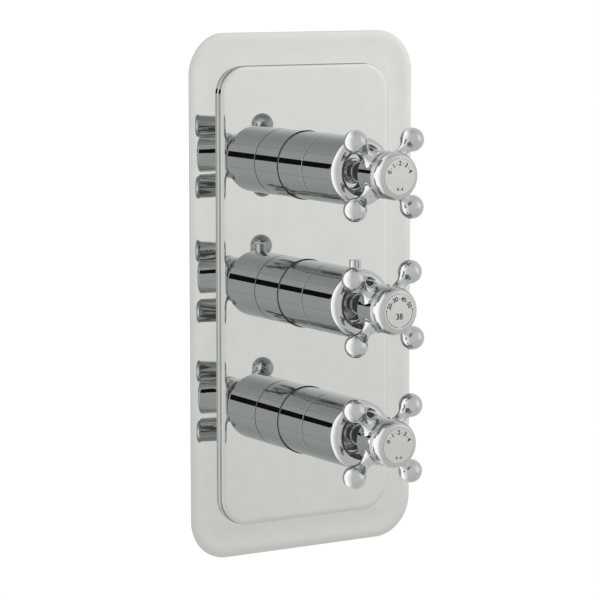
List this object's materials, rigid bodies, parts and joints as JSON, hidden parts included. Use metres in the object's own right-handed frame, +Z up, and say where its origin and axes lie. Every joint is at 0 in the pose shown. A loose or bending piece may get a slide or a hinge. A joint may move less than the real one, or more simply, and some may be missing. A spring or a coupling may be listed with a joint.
{
  "type": "thermostatic shower valve",
  "caption": "Concealed thermostatic shower valve: a tall chromed plate with cross-head temperature and flow controls over a brass body for hot and cold supplies.",
  "frame": {"origin": "centre of the four wall fixings, in the plane of the fixing lugs' backs", "axes": "+X to the right, +Z up, +Y into the wall; the controls face -Y"},
  "size_m": [0.152, 0.1735, 0.304],
  "materials": {
    "chrome_plate": "mirror polished chrome plate on pressed brass",
    "chrome_turned": "mirror polished chrome plate on turned brass",
    "chrome_index": "polished chrome with dark filled marks",
    "cast_brass": "sand cast, lightly blasted",
    "turned_brass": "turned",
    "stainless": "bright stainless steel",
    "rubber_black": "moulded EPDM rubber",
    "foam_grey": "closed cell foam",
    "fibre_red": "vulcanised fibre",
    "plastic_white": "moulded acetal",
    "plastic_blue": "moulded acetal",
    "plastic_red": "moulded acetal",
    "ceramic_white": "lapped alumina ceramic",
    "copper_wax": "drawn copper"
  },
  "bodies": {
    "valve": {"faceplate": "chrome_plate", "top_sleeve": "chrome_turned", "thermostat_sleeve": "chrome_turned", "bottom_sleeve": "chrome_turned", "valve_body": "cast_brass", "hot_inlet_union": "turned_brass", "cold_inlet_union": "turned_brass", "outlet_unions": "turned_brass", "top_headwork": "turned_brass", "bottom_headwork": "turned_brass", "cartridge_housing": "turned_brass", "thermostat_bonnet": "turned_brass", "sleeve_lock_nuts": "turned_brass", "inlet_strainers": "stainless", "hot_check_spring": "stainless", "cold_check_spring": "stainless", "return_spring": "stainless", "sleeve_o_rings": "rubber_black", "seat_seals": "rubber_black", "cartridge_o_rings": "rubber_black", "plate_gasket": "foam_grey", "union_washers": "fibre_red", "guide_bushes": "plastic_white", "check_valve_cages": "plastic_white", "stop_ring": "plastic_red", "fixed_ceramic_discs": "ceramic_white"},
    "top_handle": {"top_spindle": "turned_brass", "top_spindle_clip": "stainless", "top_barrel": "chrome_turned", "top_neck": "chrome_turned", "top_cross_head": "chrome_turned", "top_bezel": "chrome_turned", "top_index_disc": "chrome_index", "top_handle_screw": "stainless", "top_moving_disc": "ceramic_white"},
    "bottom_handle": {"bottom_spindle": "turned_brass", "bottom_spindle_clip": "stainless", "bottom_barrel": "chrome_turned", "bottom_neck": "chrome_turned", "bottom_cross_head": "chrome_turned", "bottom_bezel": "chrome_turned", "bottom_index_disc": "chrome_index", "bottom_handle_screw": "stainless", "bottom_moving_disc": "ceramic_white"},
    "temperature_handle": {"thermostat_spindle": "turned_brass", "thermostat_spindle_clip": "stainless", "thermostat_barrel": "chrome_turned", "thermostat_neck": "chrome_turned", "thermostat_cross_head": "chrome_turned", "thermostat_bezel": "chrome_turned", "thermostat_index_disc": "chrome_index", "thermostat_handle_screw": "stainless", "button_spring": "stainless"},
    "temperature_shuttle": {"adjusting_nut": "turned_brass", "overload_spring": "stainless", "wax_element": "copper_wax", "mixing_shuttle": "plastic_white"},
    "override_button": {"safety_button": "chrome_turned"},
    "hot_poppet": {"hot_check_poppet": "plastic_blue"},
    "cold_poppet": {"cold_check_poppet": "plastic_blue"}
  },
  "joints": [
    {"name": "top_flow_turn", "type": "hinge", "parent": "valve", "child": "top_handle", "pos_m": [0, -0.1573, 0.075], "axis": [0, -1, 0], "range_deg": [0, 90]},
    {"name": "bottom_flow_turn", "type": "hinge", "parent": "valve", "child": "bottom_handle", "pos_m": [0, -0.1573, -0.075], "axis": [0, -1, 0], "range_deg": [0, 90]},
    {"name": "temperature_turn", "type": "hinge", "parent": "valve", "child": "temperature_handle", "pos_m": [0, -0.1573, 0], "axis": [0, -1, 0], "range_deg": [-210, 55]},
    {"name": "mixing_travel", "type": "slide", "parent": "valve", "child": "temperature_shuttle", "axis": [0, -1, 0], "range_m": [-0.00118, 0.00032], "deforming": ["return_spring"]},
    {"name": "override_press", "type": "slide", "parent": "temperature_handle", "child": "override_button", "axis": [0, 0, -1], "range_m": [0, 0.002], "stiffness_N_per_m": 800, "springref_m": -0.002, "deforming": ["button_spring"]},
    {"name": "hot_check_lift", "type": "slide", "parent": "valve", "child": "hot_poppet", "axis": [1, 0, 0], "range_m": [0, 0.002], "stiffness_N_per_m": 60, "springref_m": -0.002, "deforming": ["hot_check_spring"]},
    {"name": "cold_check_lift", "type": "slide", "parent": "valve", "child": "cold_poppet", "axis": [-1, 0, 0], "range_m": [0, 0.002], "stiffness_N_per_m": 60, "springref_m": -0.002, "deforming": ["cold_check_spring"]}
  ],
  "couplings": [
    {"joint": "mixing_travel", "follows": "temperature_turn", "m_per_rad": 0.00031831}
  ]
}
